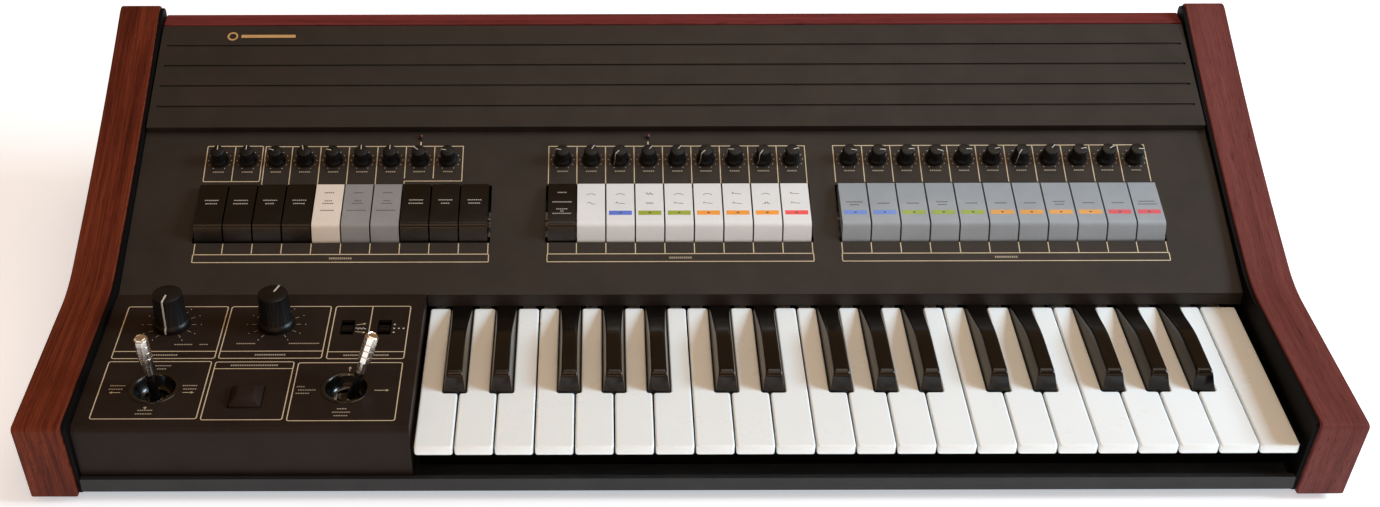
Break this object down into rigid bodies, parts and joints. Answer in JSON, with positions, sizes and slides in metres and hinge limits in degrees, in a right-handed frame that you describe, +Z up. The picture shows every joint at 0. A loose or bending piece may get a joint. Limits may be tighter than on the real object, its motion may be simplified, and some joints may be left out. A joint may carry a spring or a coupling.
{
  "type": "keyboard synthesizer",
  "caption": "Small analogue keyboard synthesizer: wooden cheeks, sloping dark panel with rotary knobs and rocker tabs, a block with two joysticks and big knobs left of the keys.",
  "frame": {"origin": "centre of the case's footprint at the bottom of the rubber feet", "axes": "+X along the keyboard to the player's right, +Y to the back, +Z up"},
  "size_m": [0.781, 0.364, 0.149],
  "materials": {
    "rosewood": "satin lacquered",
    "dark_board": "satin lacquered",
    "black_plate": "matt black",
    "panel_paint": "fine textured dark brown-black",
    "block_plastic": "fine textured dark brown-black",
    "white_key": "smooth, slightly warm white",
    "black_key": "glossy black",
    "black_tab": "glossy black",
    "white_tab": "semi-gloss white",
    "grey_tab": "semi-gloss blue-grey",
    "knob_black": "satin black with a white pointer",
    "chrome_grip": "polished",
    "cup_black": "gloss black",
    "yoke_nylon": "moulded nylon",
    "button_black": "satin black",
    "steel": "zinc plated sheet",
    "nickel": "nickel plated",
    "circuit_green": "solder-masked board",
    "control_metal": "plated",
    "foot_rubber": "matt"
  },
  "bodies": {
    "case": {"wooden_cheeks": "rosewood", "end_plates": "black_plate", "base_pan": "black_plate", "rear_board": "dark_board", "rear_sockets": "nickel", "vent_cover": "panel_paint", "control_panel": "panel_paint", "control_block": "block_plastic", "joystick_cups": "cup_black", "key_frame": "black_plate", "circuit_boards": "circuit_green", "panel_controls": "control_metal", "rocker_rails": "steel", "power_supply": "steel", "rubber_feet": "foot_rubber", "screws": "steel"},
    "white_keys_odd": {"white_keys_odd": "white_key"},
    "white_keys_even": {"white_keys_even": "white_key"},
    "black_keys": {"black_keys": "black_key"},
    "effect_rockers": {"effect_rockers": "black_tab"},
    "synthe_rockers": {"synthe_rockers": "white_tab"},
    "instrument_rockers": {"instrument_rockers": "grey_tab"},
    "left_stick_yoke": {"left_stick_yoke": "yoke_nylon"},
    "left_stick": {"left_stick": "chrome_grip"},
    "right_stick_yoke": {"right_stick_yoke": "yoke_nylon"},
    "right_stick": {"right_stick": "chrome_grip"},
    "push_button": {"push_button": "button_black"},
    "slide_cap_left": {"slide_cap_left": "button_black"},
    "slide_cap_right": {"slide_cap_right": "button_black"},
    "volume_knob": {"volume_knob": "knob_black"},
    "balance_knob": {"balance_knob": "knob_black"},
    "effect_knob_1": {"effect_knob_1": "knob_black"},
    "effect_knob_2": {"effect_knob_2": "knob_black"},
    "effect_knob_3": {"effect_knob_3": "knob_black"},
    "effect_knob_4": {"effect_knob_4": "knob_black"},
    "effect_knob_5": {"effect_knob_5": "knob_black"},
    "effect_knob_6": {"effect_knob_6": "knob_black"},
    "effect_knob_7": {"effect_knob_7": "knob_black"},
    "effect_knob_8": {"effect_knob_8": "knob_black"},
    "effect_knob_9": {"effect_knob_9": "knob_black"},
    "synthe_knob_1": {"synthe_knob_1": "knob_black"},
    "synthe_knob_2": {"synthe_knob_2": "knob_black"},
    "synthe_knob_3": {"synthe_knob_3": "knob_black"},
    "synthe_knob_4": {"synthe_knob_4": "knob_black"},
    "synthe_knob_5": {"synthe_knob_5": "knob_black"},
    "synthe_knob_6": {"synthe_knob_6": "knob_black"},
    "synthe_knob_7": {"synthe_knob_7": "knob_black"},
    "synthe_knob_8": {"synthe_knob_8": "knob_black"},
    "synthe_knob_9": {"synthe_knob_9": "knob_black"},
    "instrument_knob_1": {"instrument_knob_1": "knob_black"},
    "instrument_knob_2": {"instrument_knob_2": "knob_black"},
    "instrument_knob_3": {"instrument_knob_3": "knob_black"},
    "instrument_knob_4": {"instrument_knob_4": "knob_black"},
    "instrument_knob_5": {"instrument_knob_5": "knob_black"},
    "instrument_knob_6": {"instrument_knob_6": "knob_black"},
    "instrument_knob_7": {"instrument_knob_7": "knob_black"},
    "instrument_knob_8": {"instrument_knob_8": "knob_black"},
    "instrument_knob_9": {"instrument_knob_9": "knob_black"},
    "instrument_knob_10": {"instrument_knob_10": "knob_black"},
    "instrument_knob_11": {"instrument_knob_11": "knob_black"}
  },
  "joints": [
    {"name": "white_keys_odd_press", "type": "hinge", "parent": "case", "child": "white_keys_odd", "pos_m": [0.098, 0.015, 0.033], "axis": [1, 0, 0], "range_deg": [0, 3], "stiffness_Nm_per_rad": 6, "springref_deg": -6.88},
    {"name": "white_keys_even_press", "type": "hinge", "parent": "case", "child": "white_keys_even", "pos_m": [0.098, 0.015, 0.033], "axis": [1, 0, 0], "range_deg": [0, 3], "stiffness_Nm_per_rad": 6, "springref_deg": -6.88},
    {"name": "black_keys_press", "type": "hinge", "parent": "case", "child": "black_keys", "pos_m": [0.098, 0.015, 0.033], "axis": [1, 0, 0], "range_deg": [0, 3], "stiffness_Nm_per_rad": 6, "springref_deg": -6.88},
    {"name": "effect_rockers_tilt", "type": "hinge", "parent": "case", "child": "effect_rockers", "pos_m": [-0.307, 0.01814, 0.07315], "axis": [1, 0, 0], "range_deg": [0, 9]},
    {"name": "synthe_rockers_tilt", "type": "hinge", "parent": "case", "child": "synthe_rockers", "pos_m": [-0.0766, 0.01814, 0.07315], "axis": [1, 0, 0], "range_deg": [0, 9]},
    {"name": "instrument_rockers_tilt", "type": "hinge", "parent": "case", "child": "instrument_rockers", "pos_m": [0.1154, 0.01814, 0.07315], "axis": [1, 0, 0], "range_deg": [0, 9]},
    {"name": "left_stick_across", "type": "hinge", "parent": "case", "child": "left_stick_yoke", "pos_m": [-0.3175, -0.136, 0.041], "axis": [0, 1, 0], "range_deg": [-18, 22], "stiffness_Nm_per_rad": 0.1},
    {"name": "left_stick_along", "type": "hinge", "parent": "left_stick_yoke", "child": "left_stick", "pos_m": [-0.3175, -0.136, 0.041], "axis": [0.9994, 0, 0.0349], "range_deg": [-21, 15], "stiffness_Nm_per_rad": 0.1},
    {"name": "right_stick_across", "type": "hinge", "parent": "case", "child": "right_stick_yoke", "pos_m": [-0.2032, -0.136, 0.041], "axis": [0, 1, 0], "range_deg": [-39, 1]},
    {"name": "right_stick_along", "type": "hinge", "parent": "right_stick_yoke", "child": "right_stick", "pos_m": [-0.2032, -0.136, 0.041], "axis": [0.9455, 0, -0.3256], "range_deg": [-15, 21]},
    {"name": "button_press", "type": "slide", "parent": "case", "child": "push_button", "axis": [0, 0, -1], "range_m": [0, 0.003], "stiffness_N_per_m": 300, "springref_m": -0.002},
    {"name": "left_slide_shift", "type": "slide", "parent": "case", "child": "slide_cap_left", "axis": [0, 1, 0], "range_m": [-0.0035, 0.0035]},
    {"name": "right_slide_shift", "type": "slide", "parent": "case", "child": "slide_cap_right", "axis": [0, 1, 0], "range_m": [-0.0035, 0.0035]},
    {"name": "volume_turn", "type": "hinge", "parent": "case", "child": "volume_knob", "pos_m": [-0.3189, -0.074, 0.057], "axis": [0, 0, 1], "range_deg": [-300, 0]},
    {"name": "balance_turn", "type": "hinge", "parent": "case", "child": "balance_knob", "pos_m": [-0.2536, -0.074, 0.057], "axis": [0, 0, 1], "range_deg": [-130, 170]},
    {"name": "effect_1_turn", "type": "hinge", "parent": "case", "child": "effect_knob_1", "pos_m": [-0.307, 0.05879, 0.0942], "axis": [0, -0.36, 0.933], "range_deg": [-150, 150]},
    {"name": "effect_2_turn", "type": "hinge", "parent": "case", "child": "effect_knob_2", "pos_m": [-0.2878, 0.05879, 0.0942], "axis": [0, -0.36, 0.933], "range_deg": [-150, 150]},
    {"name": "effect_3_turn", "type": "hinge", "parent": "case", "child": "effect_knob_3", "pos_m": [-0.2686, 0.05879, 0.0942], "axis": [0, -0.36, 0.933], "range_deg": [-220, 80]},
    {"name": "effect_4_turn", "type": "hinge", "parent": "case", "child": "effect_knob_4", "pos_m": [-0.2494, 0.05879, 0.0942], "axis": [0, -0.36, 0.933], "range_deg": [-165, 135]},
    {"name": "effect_5_turn", "type": "hinge", "parent": "case", "child": "effect_knob_5", "pos_m": [-0.2302, 0.05879, 0.0942], "axis": [0, -0.36, 0.933], "range_deg": [-225, 75]},
    {"name": "effect_6_turn", "type": "hinge", "parent": "case", "child": "effect_knob_6", "pos_m": [-0.211, 0.05879, 0.0942], "axis": [0, -0.36, 0.933], "range_deg": [-150, 150]},
    {"name": "effect_7_turn", "type": "hinge", "parent": "case", "child": "effect_knob_7", "pos_m": [-0.1918, 0.05879, 0.0942], "axis": [0, -0.36, 0.933], "range_deg": [-150, 150]},
    {"name": "effect_8_turn", "type": "hinge", "parent": "case", "child": "effect_knob_8", "pos_m": [-0.1726, 0.05879, 0.0942], "axis": [0, -0.36, 0.933], "range_deg": [-200, 100]},
    {"name": "effect_9_turn", "type": "hinge", "parent": "case", "child": "effect_knob_9", "pos_m": [-0.1534, 0.05879, 0.0942], "axis": [0, -0.36, 0.933], "range_deg": [-230, 70]},
    {"name": "synthe_1_turn", "type": "hinge", "parent": "case", "child": "synthe_knob_1", "pos_m": [-0.0766, 0.05879, 0.0942], "axis": [0, -0.36, 0.933], "range_deg": [-230, 70]},
    {"name": "synthe_2_turn", "type": "hinge", "parent": "case", "child": "synthe_knob_2", "pos_m": [-0.0574, 0.05879, 0.0942], "axis": [0, -0.36, 0.933], "range_deg": [-120, 180]},
    {"name": "synthe_3_turn", "type": "hinge", "parent": "case", "child": "synthe_knob_3", "pos_m": [-0.0382, 0.05879, 0.0942], "axis": [0, -0.36, 0.933], "range_deg": [-290, 10]},
    {"name": "synthe_4_turn", "type": "hinge", "parent": "case", "child": "synthe_knob_4", "pos_m": [-0.019, 0.05879, 0.0942], "axis": [0, -0.36, 0.933], "range_deg": [-110, 190]},
    {"name": "synthe_5_turn", "type": "hinge", "parent": "case", "child": "synthe_knob_5", "pos_m": [0.0002, 0.05879, 0.0942], "axis": [0, -0.36, 0.933], "range_deg": [-110, 190]},
    {"name": "synthe_6_turn", "type": "hinge", "parent": "case", "child": "synthe_knob_6", "pos_m": [0.0194, 0.05879, 0.0942], "axis": [0, -0.36, 0.933], "range_deg": [-285, 15]},
    {"name": "synthe_7_turn", "type": "hinge", "parent": "case", "child": "synthe_knob_7", "pos_m": [0.0386, 0.05879, 0.0942], "axis": [0, -0.36, 0.933], "range_deg": [-235, 65]},
    {"name": "synthe_8_turn", "type": "hinge", "parent": "case", "child": "synthe_knob_8", "pos_m": [0.0578, 0.05879, 0.0942], "axis": [0, -0.36, 0.933], "range_deg": [-295, 5]},
    {"name": "synthe_9_turn", "type": "hinge", "parent": "case", "child": "synthe_knob_9", "pos_m": [0.077, 0.05879, 0.0942], "axis": [0, -0.36, 0.933], "range_deg": [-75, 225]},
    {"name": "instrument_1_turn", "type": "hinge", "parent": "case", "child": "instrument_knob_1", "pos_m": [0.1154, 0.05879, 0.0942], "axis": [0, -0.36, 0.933], "range_deg": [-50, 250]},
    {"name": "instrument_2_turn", "type": "hinge", "parent": "case", "child": "instrument_knob_2", "pos_m": [0.1346, 0.05879, 0.0942], "axis": [0, -0.36, 0.933], "range_deg": [-55, 245]},
    {"name": "instrument_3_turn", "type": "hinge", "parent": "case", "child": "instrument_knob_3", "pos_m": [0.1538, 0.05879, 0.0942], "axis": [0, -0.36, 0.933], "range_deg": [-65, 235]},
    {"name": "instrument_4_turn", "type": "hinge", "parent": "case", "child": "instrument_knob_4", "pos_m": [0.173, 0.05879, 0.0942], "axis": [0, -0.36, 0.933], "range_deg": [-40, 260]},
    {"name": "instrument_5_turn", "type": "hinge", "parent": "case", "child": "instrument_knob_5", "pos_m": [0.1922, 0.05879, 0.0942], "axis": [0, -0.36, 0.933], "range_deg": [-60, 240]},
    {"name": "instrument_6_turn", "type": "hinge", "parent": "case", "child": "instrument_knob_6", "pos_m": [0.2114, 0.05879, 0.0942], "axis": [0, -0.36, 0.933], "range_deg": [-75, 225]},
    {"name": "instrument_7_turn", "type": "hinge", "parent": "case", "child": "instrument_knob_7", "pos_m": [0.2306, 0.05879, 0.0942], "axis": [0, -0.36, 0.933], "range_deg": [-295, 5]},
    {"name": "instrument_8_turn", "type": "hinge", "parent": "case", "child": "instrument_knob_8", "pos_m": [0.2498, 0.05879, 0.0942], "axis": [0, -0.36, 0.933], "range_deg": [-110, 190]},
    {"name": "instrument_9_turn", "type": "hinge", "parent": "case", "child": "instrument_knob_9", "pos_m": [0.269, 0.05879, 0.0942], "axis": [0, -0.36, 0.933], "range_deg": [-70, 230]},
    {"name": "instrument_10_turn", "type": "hinge", "parent": "case", "child": "instrument_knob_10", "pos_m": [0.2882, 0.05879, 0.0942], "axis": [0, -0.36, 0.933], "range_deg": [-90, 210]},
    {"name": "instrument_11_turn", "type": "hinge", "parent": "case", "child": "instrument_knob_11", "pos_m": [0.3074, 0.05879, 0.0942], "axis": [0, -0.36, 0.933], "range_deg": [-55, 245]}
  ]
}
